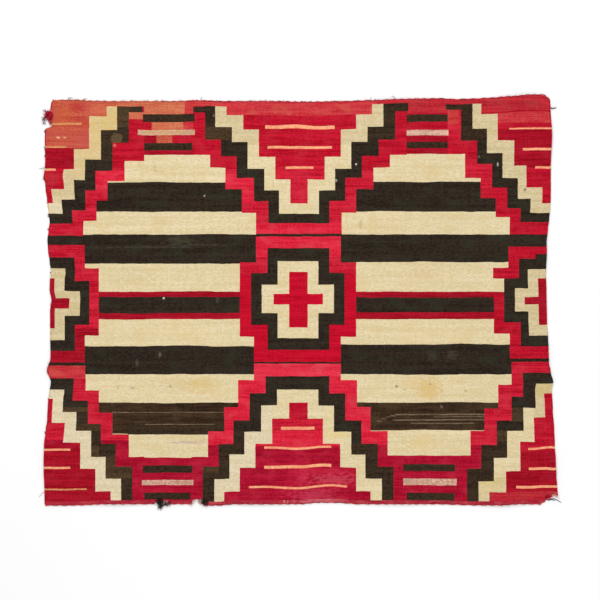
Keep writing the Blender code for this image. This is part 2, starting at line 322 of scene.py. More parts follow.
# Where a weft wanders off its line: (x, y, half length, half height, shift), in mm
WANDERS = (
    (-10, -646, 90, 30, -4), (-130, -646, 60, 30, 2), (110, -646, 60, 30, 3),
    (-15, -511, 80, 25, -4), (90, -511, 60, 25, 4), (80, -576, 80, 30, 6), (-110, -576, 50, 25, -1),
    (-20, 603, 60, 25, 4), (60, 603, 60, 25, -2), (-80, 529, 60, 25, 1),
    (800, -508, 60, 30, -5), (870, -508, 50, 30, 2), (780, -645, 60, 30, -4), (840, -582, 60, 25, 2),
    (430, -447, 120, 30, 2), (-300, -459, 160, 30, -2), (300, 312, 140, 30, 2),
    (-520, 409, 120, 30, 2), (-430, -158, 140, 30, 3), (450, -254, 150, 30, -2),
    (-300, 229, 110, 25, 2), (420, 134, 130, 25, 2), (-450, -353, 130, 30, -2),
    (520, -351, 120, 25, 2), (-560, -45, 150, 22, -2), (-600, -64, 110, 22, -2),
    (-380, 31, 150, 22, 2), (560, -152, 120, 25, 3), (400, 412, 90, 25, -2),
)

# Flecks, stains and faded places: (yarns, x, y, half width, half height, softness, strength, colour)
MARKS = (
    ("ivory", 440, -303, 42, 34, 0.6, 0.75, (221, 187, 118)),
    ("ivory", 380, -285, 30, 18, 0.8, 0.5, (222, 194, 134)),
    ("ivory", -342, -290, 48, 22, 0.8, 0.6, (220, 188, 118)),
    ("ivory", -420, -288, 40, 26, 0.9, 0.35, (216, 190, 134)),
    ("ivory", 206, 263, 7, 13, 0.6, 0.55, (196, 168, 108)),
    ("ivory", 300, 262, 60, 18, 0.9, 0.3, (220, 194, 138)),
    ("ivory", 248, 616, 12, 6, 0.6, 0.5, (172, 158, 112)),
    ("ivory", -512, 452, 44, 9, 0.7, 0.35, (208, 184, 118)),
    ("ivory", -556, 470, 10, 12, 0.7, 0.4, (206, 182, 124)),
    ("ivory", -453, -296, 4, 4, 0.6, 0.75, (120, 112, 96)),
    ("ivory", 330, -297, 4, 4, 0.6, 0.75, (110, 100, 84)),
    ("ivory", 447, -287, 4, 4, 0.6, 0.6, (140, 122, 88)),
    ("ivory", -404, -491, 40, 4, 0.7, 0.55, (186, 160, 148)),
    ("ivory", 424, -490, 40, 26, 0.8, 0.5, (226, 198, 132)),
    ("ivory", 352, -478, 14, 14, 0.8, 0.35, (214, 190, 140)),
    ("ivory", -600, 90, 60, 20, 0.9, 0.35, (206, 190, 150)),
    ("ivory", 420, 90, 60, 24, 0.9, 0.4, (216, 188, 142)),
    ("ivory", 450, 450, 24, 22, 0.9, 0.4, (216, 188, 128)),
    ("ivory", 560, 270, 70, 20, 0.9, 0.25, (214, 196, 150)),
    ("ivory", -480, 270, 30, 12, 0.9, 0.4, (212, 190, 140)),
    ("ivory", -440, -110, 120, 30, 0.9, 0.25, (230, 206, 150)),
    ("ivory", 430, -115, 100, 26, 0.9, 0.25, (232, 206, 150)),
    ("ivory", -345, -490, 85, 6, 0.7, 0.40, (196, 172, 156)),
    ("ivory", -584, -303, 6, 6, 0.7, 0.50, (158, 140, 98)),
    ("ivory", -634, -301, 4, 5, 0.7, 0.50, (164, 148, 104)),
    ("ivory", 359, -310, 4, 4, 0.7, 0.45, (160, 138, 92)),
    ("ivory", 486, -314, 4, 4, 0.7, 0.45, (166, 144, 98)),
    ("ivory", 570, -312, 4, 4, 0.7, 0.45, (160, 138, 92)),
    ("ivory", 544, -276, 4, 4, 0.7, 0.40, (170, 150, 104)),
    ("ivory", 126, -462, 40, 14, 0.8, 0.50, (236, 208, 134)),
    ("old_ivory", -640, 640, 90, 70, 0.9, 0.65, (214, 182, 104)),
    ("old_ivory", -720, 520, 90, 110, 0.9, 0.40, (226, 188, 112)),
    ("old_ivory", 850, -305, 60, 30, 0.9, 0.55, (206, 178, 106)),
    ("old_ivory", 645, -600, 50, 60, 0.9, 0.45, (226, 200, 122)),
    ("old_ivory ivory", 776, 383, 4, 5, 0.6, 0.7, (96, 84, 60)),
    ("black umber dark_umber", -639, 561, 20, 18, 0.15, 0.50, (116, 100, 66)),
    ("black umber dark_umber", -642, 563, 13, 12, 0.25, 0.45, (96, 66, 56)),
    ("ivory", -505, 464, 3, 13, 0.7, 0.5, (190, 166, 112)),
    ("ivory", -490, 448, 16, 4, 0.8, 0.4, (204, 180, 122)),
    ("ivory", -455, 440, 34, 4, 0.8, 0.35, (208, 184, 126)),
    ("salmon", -740, 560, 120, 36, 0.9, 0.45, (196, 78, 70)),
    ("grey_pink", -470, 582, 115, 16, 0.9, 0.55, (210, 170, 112)),
    ("salmon", -690, 668, 40, 14, 0.9, 0.5, (214, 100, 66)),
    ("salmon", -800, 610, 90, 8, 0.8, 0.35, (176, 70, 40)),
    ("crimson", -646, 537, 5, 6, 0.5, 0.6, (214, 130, 108)),
    ("black", -416, 208, 40, 14, 0.8, 0.30, (92, 88, 70)),
    ("black", -520, 185, 140, 2, 0.7, 0.30, (92, 88, 80)),
    ("black", -330, 192, 60, 2, 0.7, 0.30, (96, 92, 84)),
    ("black", -476, 9, 4, 4, 0.4, 0.95, (232, 208, 204)),
    ("black", -489, -188, 4, 9, 0.5, 0.60, (116, 112, 96)),
    ("black", -568, -219, 5, 10, 0.6, 0.45, (98, 92, 74)),
    ("black", -290, 2, 5, 9, 0.6, 0.40, (92, 92, 84)),
    ("black", 681, 472, 2.5, 5.5, 0.5, 0.80, (196, 190, 176)),
    ("black", 616, 499, 4, 5, 0.5, 0.55, (120, 112, 96)),
    ("black", 191, 473, 3, 4, 0.5, 0.85, (214, 206, 196)),
    ("black", 122, 417, 3, 5, 0.5, 0.75, (182, 176, 168)),
    ("black", -334, 363, 3, 3, 0.5, 0.75, (170, 164, 150)),
    ("black umber dark_umber", -302, 642, 3, 4, 0.5, 0.60, (140, 132, 112)),
    ("black", 470, 340, 14, 14, 0.7, 0.45, (30, 24, 20)),
    ("black", 520, -190, 16, 16, 0.9, 0.35, (84, 80, 68)),
    ("black", 455, -192, 12, 12, 0.9, 0.30, (80, 76, 62)),
    ("brown", 486, -367, 4, 6, 0.6, 0.60, (118, 104, 88)),
    ("wine", 112, -620, 62, 16, 0.8, 0.55, (216, 80, 96)),
    ("wine", 10, -612, 14, 26, 0.9, 0.50, (212, 62, 88)),
    ("wine lower_band", 40, -674, 62, 22, 0.9, 0.50, (210, 70, 96)),
    ("lower_band", 60, -696, 70, 14, 0.9, 0.55, (218, 118, 122)),
    ("lower_band", -780, -700, 120, 16, 0.9, 0.45, (182, 36, 56)),
    ("wine", -10, -600, 30, 50, 0.9, 0.45, (208, 36, 70)),
    ("wine", -250, -600, 60, 60, 0.9, 0.30, (206, 30, 66)),
    ("wine", 110, -590, 80, 10, 0.9, 0.45, (214, 50, 76)),
    ("lower_band", -58, -694, 2, 14, 0.6, 0.70, (232, 150, 150)),
    ("lower_band", -46, -694, 2, 14, 0.6, 0.60, (226, 130, 136)),
    ("salmon", -775, 668, 26, 14, 0.5, 0.70, (184, 46, 48)),
    ("salmon", -770, 620, 40, 12, 0.7, 0.60, (188, 58, 50)),
    ("salmon", -700, 655, 26, 30, 0.8, 0.45, (212, 116, 88)),
    ("salmon", -830, 640, 30, 24, 0.9, 0.50, (196, 96, 52)),
    ("salmon", -840, 565, 5, 2.5, 0.6, 0.80, (240, 190, 150)),
    ("salmon", -820, 565, 5, 2.5, 0.6, 0.80, (240, 190, 150)),
    ("salmon", -740, 548, 40, 24, 0.9, 0.40, (200, 90, 84)),
    ("crimson deep_crimson", -870, 420, 30, 22, 0.8, 0.35, (184, 60, 62)),
    ("faded_red", 760, 640, 70, 14, 0.8, 0.45, (204, 70, 66)),
    ("crimson rim_red bright_red", -10, 440, 20, 60, 0.9, 0.30, (214, 44, 66)),
)


def dye(red, green, blue):
    """A colour in steps of 0 to 255 as linear light, dimmed to a yarn's depth."""
    def linear(value):
        share = value / 255
        return share / 12.92 if share <= 0.04045 else ((share + 0.055) / 1.055) ** 2.4
    return tuple(linear(value) * DEPTH for value in (red, green, blue))


DEPTH = 0.90                 # share of a listed colour's light that the wool sends back, tuned
                             # together with the studio lights

# ---- the yarns: (darker streaks, lighter streaks, stain, how much of it, streaks a metre along
# the weft, streaks a metre across it) ----
LONG = (9, 250)              # well-drawn streaks of the reds
SHORT = (75, 175)            # the shorter ones of undyed wool
YARNS = {
    "crimson": ((162, 2, 27), (208, 24, 50), (196, 44, 58), 0.4, LONG),
    "deep_crimson": ((139, 1, 20), (184, 18, 42), (172, 32, 50), 0.4, LONG),
    "clear_red": ((176, 0, 28), (212, 14, 48), (200, 22, 46), 0.35, LONG),
    "rim_red": ((176, 6, 34), (218, 36, 60), (214, 56, 70), 0.4, LONG),
    "bright_red": ((200, 16, 44), (232, 44, 68), (226, 76, 88), 0.4, LONG),
    "pink_red": ((210, 32, 56), (240, 58, 82), (228, 90, 100), 0.4, LONG),
    "pale_red": ((182, 34, 46), (216, 64, 70), (210, 92, 80), 0.5, LONG),
    "faded_red": ((164, 24, 38), (208, 50, 60), (176, 60, 62), 0.5, LONG),
    "wine": ((146, 0, 30), (188, 20, 52), (196, 44, 66), 0.4, LONG),
    "lower_band": ((150, 24, 44), (188, 52, 68), (204, 88, 92), 0.5, LONG),
    "salmon": ((176, 62, 50), (210, 104, 76), (192, 80, 70), 0.5, LONG),
    "sun_faded": ((192, 94, 66), (216, 130, 92), (202, 84, 68), 0.5, LONG),
    "orange_red": ((184, 42, 46), (212, 70, 68), (206, 84, 66), 0.45, LONG),
    "ivory": ((217, 198, 153), (236, 219, 180), (220, 197, 142), 0.5, SHORT),
    "old_ivory": ((203, 184, 142), (227, 208, 167), (206, 186, 132), 0.5, SHORT),
    "pale_ivory": ((214, 198, 162), (238, 221, 188), (218, 201, 156), 0.45, SHORT),
    "black": ((33, 24, 17), (55, 45, 35), (50, 50, 38), 0.6, SHORT),
    "umber": ((56, 40, 24), (88, 66, 45), (70, 58, 40), 0.5, SHORT),
    "dark_umber": ((38, 27, 17), (67, 51, 36), (54, 48, 35), 0.5, SHORT),
    "brown": ((40, 26, 15), (72, 52, 35), (84, 66, 44), 0.4, (10, 200)),
    "tan": ((96, 78, 60), (138, 116, 92), (84, 66, 48), 0.5, (20, 200)),
    "gold": ((238, 148, 112), (255, 186, 138), (232, 130, 100), 0.4, SHORT),
    "dull_gold": ((204, 126, 82), (230, 164, 110), (206, 122, 90), 0.5, SHORT),
    "grey_pink": ((182, 132, 112), (238, 196, 174), (176, 146, 118), 0.55, (70, 300)),
}
YARN_NAMES = list(YARNS)


def ease(t):
    """Smooth step from 0 to 1."""
    t = min(max(t, 0.0), 1.0)
    return t * t * (3.0 - 2.0 * t)


def standout(rows, place):
    """How far an edge stands out at a place along it, in metres, eased between the table's rows."""
    if place <= rows[0][0] * MM:
        return rows[0][1] * MM
    for (start, first), (end, second) in zip(rows, rows[1:]):
        if place <= end * MM:
            share = ease((place - start * MM) / ((end - start) * MM))
            return (first + (second - first) * share) * MM
    return rows[-1][1] * MM


def lift(x, y):
    """Height of the cloth's underside: zero in the middle, soft ripples along the edges."""
    inward = {
        "left": x + WIDTH / 2, "right": WIDTH / 2 - x,
        "bottom": y + HEIGHT / 2, "top": HEIGHT / 2 - y,
    }
    height = 0.0
    for edge, place, half_length, rise in RIPPLES:
        along = y if edge in ("left", "right") else x
        off = abs(along - place * MM) / (half_length * MM)
        if off >= 1.0 or inward[edge] >= RIPPLE_REACH:
            continue
        crest = 0.5 + 0.5 * math.cos(math.pi * off)
        height += rise * MM * crest * (1.0 - ease(inward[edge] / RIPPLE_REACH))
    return height


def uneven(x, y):
    """A point of the nominal web moved out to the uneven outline, most at the edge itself."""
    near_left = 1.0 - ease((x + WEB_REACH) / EDGE_BLEND)
    near_right = 1.0 - ease((WEB_REACH - x) / EDGE_BLEND)
    near_bottom = 1.0 - ease((y + WEB_RISE) / EDGE_BLEND)
    near_top = 1.0 - ease((WEB_RISE - y) / EDGE_BLEND)
    moved_x = x
    moved_y = y
    if near_left > 0.0:
        moved_x -= standout(LEFT_EDGE, y) * near_left
    if near_right > 0.0:
        moved_x += standout(RIGHT_EDGE, y) * near_right
    if near_bottom > 0.0:
        unworn = standout(BOTTOM_UNWORN, x)
        moved_y -= unworn * near_bottom
        bite = unworn - standout(BOTTOM_EDGE, x)
        if bite > 0.2 * MM:
            softness = min(BITE_SOFTNESS, bite * 0.3)
            limit = -WEB_RISE - unworn + bite
            over = (moved_y - limit) / softness
            if over < 20.0:
                moved_y = limit + softness * math.log(1.0 + math.exp(over))
    if near_top > 0.0:
        moved_y += standout(TOP_EDGE, x) * near_top
    return moved_x, moved_y


def even(x, y):
    """The other way round: where a point of the finished cloth lies on the nominal web."""
    u = x
    v = y
    for _ in range(5):
        moved = uneven(u, v)
        u += x - moved[0]
        v += y - moved[1]
    return u, v


def edge_point(edge, place, outward):
    """A point beside the web's edge, at its place along the nominal edge, so far outward."""
    if edge == "left":
        x, y = uneven(-WEB_REACH, place)
        return x - outward, y
    if edge == "right":
        x, y = uneven(WEB_REACH, place)
        return x + outward, y
    if edge == "top":
        x, y = uneven(place, WEB_RISE)
        return x, y + outward
    x, y = uneven(place, -WEB_RISE)
    return x, y - outward


# ---------------------------------------------------------------- the chart

def chart_patches():
    """Every patch of colour, in the order in which they cover each other: (yarn, l, r, top, low)."""
    patches = []
    lower_sides = STRIPES[1:] + (("", -FAR, -FAR),)
    for (yarn, top_left, top_right), (_, low_left, low_right) in zip(STRIPES, lower_sides):
        patches.append((yarn, -FAR, HALVES_MEET, top_left, low_left))
        patches.append((yarn, HALVES_MEET, FAR, top_right, low_right))
    patches.extend(TAN_LINES)
    corners = ((UPPER_LEFT, -FAR, FAR), (UPPER_RIGHT, FAR, FAR),
               (LOWER_LEFT, -FAR, -FAR), (LOWER_RIGHT, FAR, -FAR))
    for ring in (3, 2, 1, 0):
        for steps, side in ((UPPER_HALF, FAR), (LOWER_HALF, -FAR)):
            for step in steps:
                left, right, end = step[ring]
                patches.append((RINGS[ring], left, right, max(end, side), min(end, side)))
        for steps, side, outer in corners:
            for step in steps:
                x, y = step[ring]
                patches.append((
                    CORNER_RINGS[ring], min(x, side), max(x, side), max(y, outer), min(y, outer)))
        if ring == 3:
            patches.extend(BARS)
        if ring == 2:
            patches.extend(FIRST_STEPS)
    patches.extend(MIDDLE_CROSS + LEFT_CROSS + RIGHT_CROSS)
    patches.extend(("crimson", left, right, FAR, line) for left, right, line in TOP_BORDER)
    for left, right in zip(LOW_PARTS, LOW_PARTS[1:]):
        patches.append(("crimson", left, right, LOW_BORDER, -FAR))
    for yarn, left, right, middle, width in GOLD_LINES:
        patches.append((yarn, left, right, middle + width / 2, middle - width / 2))
    return patches


def seen_middle(low, high, reach):
    """Where along its length the side of a patch shows: by its inner end if it runs off the cloth."""
    if low <= -FAR and high >= FAR:
        return 0.0
    if low <= -FAR:
        return max(high - SHOWN, -reach)
    if high >= FAR:
        return min(low + SHOWN, reach)
    return (low + high) / 2


def on_the_loom(patches):
    """The patches' sides moved from the cloth as it lies to the even web, in metres."""
    moved = []
    for *yarns, left, right, top, low in patches:
        x = seen_middle(left, right, SHOWN_WIDE) * MM
        y = seen_middle(low, top, SHOWN_HIGH) * MM
        web_sides = [-WEB_REACH, WEB_REACH, WEB_RISE, -WEB_RISE]
        if left > -FAR:
            web_sides[0] = even(left * MM, y)[0]
        if right < FAR:
            web_sides[1] = even(right * MM, y)[0]
        if top < FAR:
            web_sides[2] = even(x, top * MM)[1]
        if low > -FAR:
            web_sides[3] = even(x, low * MM)[1]
        moved.append((*yarns, *web_sides))
    return moved


def mesh_lines(reach, worn, chart_marks, lot_marks):
    """Mesh lines across the web: at the chart's marks, and between them where they lie far apart."""
    kept = [-reach, reach]
    for marks, merge in ((worn, LINE_MERGE), (chart_marks, LINE_MERGE), (lot_marks, LOT_MERGE)):
        for mark in marks:
            if all(abs(mark - other) > merge for other in kept) and abs(mark) < reach:
                kept.append(mark)
    kept.sort()
    lines = []
    for start, end in zip(kept, kept[1:]):
        cells = math.ceil((end - start) / LINE_LONGEST)
        lines.extend(start + (end - start) * cell / cells for cell in range(cells))
    lines.append(kept[-1])
    return lines


def nearest(lines, place):
    return int(np.argmin(np.abs(np.array(lines) - place)))


PATCHES = on_the_loom(chart_patches())
LOTS = on_the_loom(DYE_LOTS)


FIRST_PLACED = ("gold", "dull_gold", "tan")   # thin lines, whose sides are kept most exactly


def sides(patches, first, last):
    """Two of the four sides of every patch, the thin lines' sides first."""
    ordered = sorted(patches, key=lambda patch: patch[0] not in FIRST_PLACED)
    return [place for patch in ordered for place in patch[len(patch) - 4:][first:last]]


COLUMNS = mesh_lines(WEB_REACH, [place * MM for place in WORN_COLUMNS],
                     sides(PATCHES, 0, 2), sides(LOTS, 0, 2))
ROWS = mesh_lines(WEB_RISE, [place * MM for place in WORN_ROWS],
                  sides(PATCHES, 2, 4), sides(LOTS, 2, 4))


def paint_cells():
    """The yarn of every cell of the mesh: a patch covers those before it, then the lots change."""
    cells = np.zeros((len(COLUMNS) - 1, len(ROWS) - 1), dtype=int)
    for *yarns, left, right, top, low in PATCHES + LOTS:
        columns = slice(nearest(COLUMNS, left), nearest(COLUMNS, right))
        rows = slice(nearest(ROWS, low), nearest(ROWS, top))
        if len(yarns) == 1:
            cells[columns, rows] = YARN_NAMES.index(yarns[0])
        else:
            area = cells[columns, rows]
            area[area == YARN_NAMES.index(yarns[0])] = YARN_NAMES.index(yarns[1])
    return cells


CELLS = paint_cells()


# ---------------------------------------------------------------- materials

def plug(tree, value, socket):
    """Link a socket, or set a plain value."""
    if isinstance(value, bpy.types.NodeSocket):
        tree.links.new(value, socket)
    elif isinstance(value, (tuple, list)) and len(value) == 3 and len(socket.default_value) == 4:
        socket.default_value = (*value, 1.0)
    else:
        socket.default_value = value


def node(tree, kind, settings=(), inputs=()):
    """A node with its settings as (name, value) pairs and its inputs as (name or number, value)."""
    made = tree.nodes.new(kind)
    for name, value in settings:
        setattr(made, name, value)
    for name, value in inputs:
        plug(tree, value, made.inputs[name])
    return made


def stretched(tree, scale, location=(0.0, 0.0, 0.0)):
    """The piece's own coordinates, scaled and then moved."""
    coords = node(tree, "ShaderNodeTexCoord")
    mapping = node(tree, "ShaderNodeMapping", inputs=(
        ("Vector", coords.outputs["Object"]), ("Scale", scale), ("Location", location)))
    return mapping.outputs[0]


def noise(tree, scale, detail=2.0, roughness=0.5, offset=(0.0, 0.0, 0.0)):
    made = node(tree, "ShaderNodeTexNoise", inputs=(
        ("Vector", stretched(tree, scale, offset)), ("Scale", 1.0), ("Detail", detail),
        ("Roughness", roughness)))
    return made.outputs[0]


def between(tree, value, low, high, result_low=0.0, result_high=1.0):
    """Map a value from one range to another, smoothly and held at the ends."""
    made = node(tree, "ShaderNodeMapRange", settings=(("interpolation_type", "SMOOTHSTEP"),), inputs=(
        ("Value", value), ("From Min", low), ("From Max", high),
        ("To Min", result_low), ("To Max", result_high)))
    return made.outputs[0]


def math_node(tree, operation, first, second=0.0):
    made = node(tree, "ShaderNodeMath", settings=(("operation", operation),),
                inputs=((0, first), (1, second)))
    return made.outputs[0]


def mixed(tree, share, first, second):
    """One colour over another, by a share."""
    made = node(tree, "ShaderNodeMix", settings=(("data_type", "RGBA"),),
                inputs=((0, share), (6, first), (7, second)))
    return made.outputs[2]


def spot(tree, ragged, x, y, half_x, half_y, softness):
    """A soft ellipse on the cloth with a ragged rim, 1 inside and 0 outside; sizes in mm."""
    place = stretched(tree, (1000 / half_x, 1000 / half_y, 0.0), (-x / half_x, -y / half_y, 0.0))
    length = node(tree, "ShaderNodeVectorMath", settings=(("operation", "LENGTH"),), inputs=((0, place),))
    reach = math_node(tree, "ADD", length.outputs["Value"], ragged)
    return between(tree, reach, 1.0 + softness, max(1.0 - softness, 0.0))


RIB = 2.6                    # mm from one warp rib to the next
COURSE = 1.1                 # mm from one weft course to the next


def weave_relief(tree, strength=0.5):
    """Bump of the ribs over the warps and of the courses of weft, with some fuzz."""
    ribs = node(tree, "ShaderNodeTexWave", settings=(("bands_direction", "X"),), inputs=(
        ("Vector", stretched(tree, (1.0, 1.0, 1.0))), ("Scale", math.tau / 20 / (RIB * MM)),
        ("Distortion", 1.2), ("Detail Scale", 0.25)))
    courses = node(tree, "ShaderNodeTexWave", settings=(("bands_direction", "Y"),), inputs=(
        ("Vector", stretched(tree, (1.0, 1.0, 1.0))), ("Scale", math.tau / 20 / (COURSE * MM)),
        ("Distortion", 2.0), ("Detail Scale", 0.3)))
    fuzz = noise(tree, (260.0, 520.0, 260.0), detail=3.0)
    height = math_node(tree, "ADD", math_node(tree, "MULTIPLY", ribs.outputs["Fac"], 0.5),
                       math_node(tree, "MULTIPLY", courses.outputs["Fac"], 0.35))
    height = math_node(tree, "ADD", height, math_node(tree, "MULTIPLY", fuzz, 0.6))
    bump = node(tree, "ShaderNodeBump", inputs=(
        ("Strength", strength), ("Distance", 0.6 * MM), ("Height", height)))
    return bump.outputs["Normal"], height


def new_material(name, roughness=0.92):
    """A matt woollen shader with its uniform values set on its own sockets."""
    material = bpy.data.materials.new(name)
    material.use_nodes = True
    tree = material.node_tree
    shader = tree.nodes["Principled BSDF"]
    shader.inputs["Roughness"].default_value = roughness
    shader.inputs["Specular IOR Level"].default_value = 0.04
    shader.inputs["Sheen Weight"].default_value = 0.03
    shader.inputs["Sheen Roughness"].default_value = 0.6
    return material, tree, shader


def weft_material(name):
    """One dye lot of weft: streaks along the courses, blotches, marks, the weave's relief, and painted shade
    and highlight that follow the relief's height.
    """
    dark, light, stain, stained, (along, across) = YARNS[name]
    shift = YARN_NAMES.index(name) * 1.37
    material, tree, shader = new_material(name + " weft")
    fine = noise(tree, (along, across, 1.0), detail=2.0, offset=(shift, 0.0, 0.0))
    broad = noise(tree, (2.2, 62.0, 1.0), detail=2.0, offset=(3.1, shift, 0.0))
    grain = noise(tree, (150.0, 190.0, 1.0), detail=2.0, offset=(0.0, shift, 0.0))
    warpwise = noise(tree, (170.0, 11.0, 1.0), detail=1.0, offset=(shift, 1.7, 0.0))
    tone = math_node(tree, "MULTIPLY", fine, 0.34)
    for value, weight in ((broad, 0.26), (grain, 0.30), (warpwise, 0.10)):
        tone = math_node(tree, "ADD", tone, math_node(tree, "MULTIPLY", value, weight))
    colour = mixed(tree, between(tree, tone, 0.40, 0.60), dye(*dark), dye(*light))
    blotch = noise(tree, (16.0, 26.0, 1.0), detail=4.0, roughness=0.6, offset=(11.3, shift, 0.0))
    colour = mixed(tree, between(tree, blotch, 0.46, 0.66, 0.0, stained), colour, dye(*stain))
    rags = noise(tree, (55.0, 110.0, 1.0), detail=3.0, offset=(2.9, shift, 0.0))
    for yarns, x, y, half_x, half_y, softness, strength, tint in MARKS:
        if name in yarns.split():
            ragged = between(tree, rags, 0.2, 0.8, -1.1 * softness, 1.1 * softness)
            spread = spot(tree, ragged, x, y, half_x, half_y, softness)
            share = math_node(tree, "MULTIPLY", spread, strength)
            colour = mixed(tree, share, colour, dye(*tint))
    normal, height = weave_relief(tree)
    # Painted shade and highlight: the colour is darkened in the weave's hollows and lightened on its ribs
    # and courses, by the relief's height
    relief_painted_shade = between(tree, height, 0.25, 0.95, 0.86, 1.06)
    relief_shaded_colour = node(tree, "ShaderNodeVectorMath", settings=(("operation", "SCALE"),),
                  inputs=((0, colour), ("Scale", relief_painted_shade)))
    plug(tree, relief_shaded_colour.outputs[0], shader.inputs["Base Color"])
    plug(tree, normal, shader.inputs["Normal"])
    return material


def cord_material(name, dark, light):
    """The wool of cords and loose ends: an uneven colour and a fuzzy relief."""
    material, tree, shader = new_material(name)
    tone = noise(tree, (90.0, 90.0, 90.0), detail=3.0)
    colour = mixed(tree, between(tree, tone, 0.35, 0.65), dark, light)
    fuzz = noise(tree, (900.0, 900.0, 900.0), detail=2.0)
    bump = node(tree, "ShaderNodeBump", inputs=(
        ("Strength", 0.6), ("Distance", 0.4 * MM), ("Height", fuzz)))
    plug(tree, colour, shader.inputs["Base Color"])
    plug(tree, bump.outputs["Normal"], shader.inputs["Normal"])
    return material


# ---------------------------------------------------------------- the web

WANDER_SETTLE = 12 * MM      # the lines stray fully from this far inside the edge
COCKLE_SETTLE = 20 * MM      # and the unevenness is full from this far inside it


def wander(x, y):
    """How far the wefts and colour joints stray from their lines at a point, in metres."""
    stray_x = 0.9 * MM * perlin.noise(Vector((x * 9, y * 160, 1.7)))
    stray_y = 1.5 * MM * perlin.noise(Vector((x * 22, y * 14, 5.3)))
    stray_y += 0.9 * MM * perlin.noise(Vector((x * 75, y * 60, 9.1)))
    for at_x, at_y, half_x, half_y, shift in WANDERS:
        off_x = abs(x - at_x * MM) / (half_x * MM)
        off_y = abs(y - at_y * MM) / (half_y * MM)
        if off_x < 1.0 and off_y < 1.0:
            stray_y += shift * MM * (1.0 - ease(off_x)) * (1.0 - ease(off_y))
    return stray_x, stray_y


def cockle(x, y):
    """Small soft unevenness of the laid cloth, never below the surface it lies on."""
    slow = 0.5 + 0.5 * perlin.noise(Vector((x * 7, y * 6, 2.2)))
    quick = 0.5 + 0.5 * perlin.noise(Vector((x * 34, y * 22, 8.8)))
    return (0.8 * slow + 0.35 * quick) * MM


def add_object(name, data):
    made = bpy.data.objects.new(name, data)
    bpy.context.scene.collection.objects.link(made)
    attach(made, "root")
    return made


def build_web():
    """The closed sheet of the web, with each cell's yarn and the same design on both faces."""
    bm = bmesh.new()
    last_column = len(COLUMNS) - 1
    last_row = len(ROWS) - 1
    bmesh.ops.create_grid(bm, x_segments=last_column, y_segments=last_row, size=1.0)
    for face in bm.faces:
        middle = face.calc_center_median()
        column = int((middle.x + 1.0) / 2.0 * last_column)
        row = int((middle.y + 1.0) / 2.0 * last_row)
        face.material_index = int(CELLS[column, row])
        face.smooth = True
    for vert in bm.verts:
        column = round((vert.co.x + 1.0) / 2.0 * last_column)
        row = round((vert.co.y + 1.0) / 2.0 * last_row)
        x, y = uneven(COLUMNS[column], ROWS[row])
        inner = min(WEB_REACH - abs(COLUMNS[column]), WEB_RISE - abs(ROWS[row]))
        stray_x, stray_y = wander(x, y)
        settle = ease(inner / WANDER_SETTLE)
        x += stray_x * settle
        y += stray_y * settle
        height = lift(x, y) + cockle(x, y) * ease(inner / COCKLE_SETTLE)
        if column in (0, last_column):
            x += TUCK if column else -TUCK
        if row in (0, last_row):
            y += TUCK if row else -TUCK
        vert.co = (x, y, height)
    raised = bmesh.ops.extrude_face_region(bm, geom=list(bm.faces))
    top_verts = [item for item in raised["geom"] if isinstance(item, bmesh.types.BMVert)]
    bmesh.ops.translate(bm, vec=(0.0, 0.0, WEB_THICKNESS), verts=top_verts)
    bmesh.ops.recalc_face_normals(bm, faces=list(bm.faces))
    for edge in bm.edges:
        if len(edge.link_faces) == 2:
            edge.smooth = edge.calc_face_angle(0.0) < math.radians(50)
    mesh = bpy.data.meshes.new("woven_web")
    bm.to_mesh(mesh)
    bm.free()
    for name in YARN_NAMES:
        mesh.materials.append(weft_material(name))
    web = add_object("woven_web", mesh)
    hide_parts("blanket_web")
    return web


# ---------------------------------------------------------------- cords and loose yarn

def new_curve(name, radius, materials):
    """A round yarn's curve; it takes its materials first, so that each strand can choose one."""
    curve = bpy.data.curves.new(name, "CURVE")
    for material in materials:
        curve.materials.append(material)
    curve.dimensions = "3D"
    curve.bevel_depth = radius
    curve.bevel_resolution = 2
    curve.use_fill_caps = True
    return curve


def add_strand(curve, points, radii=None, material_index=0):
    """One open length of yarn along its points (metres)."""
    spline = curve.splines.new("POLY")
    spline.points.add(len(points) - 1)
    for number, (slot, (x, y, z)) in enumerate(zip(spline.points, points)):
        slot.co = (x, y, z, 1.0)
        slot.radius = radii[number] if radii else 1.0
    spline.material_index = material_index
    spline.use_smooth = True


CORD_COLOURS = {"ivory": 1, "old_ivory": 1, "pale_ivory": 1, "gold": 1, "dull_gold": 1,
                "black": 2, "umber": 2, "dark_umber": 2, "brown": 2}
FADED_TOP = -400 * MM        # the end cord is faded too, on this side of it


def edge_yarn(edge, place):
    """Which cord colour lies beside a place of the edge: a side cord takes the colour of its weft."""
    if edge == "top":
        return 3 if place < FADED_TOP else 0
    if edge == "bottom":
        return 4
    row = min(max(int(np.searchsorted(ROWS, place)) - 1, 0), CELLS.shape[1] - 1)
    column = 0 if edge == "left" else CELLS.shape[0] - 1
    return CORD_COLOURS.get(YARN_NAMES[CELLS[column, row]], 0)


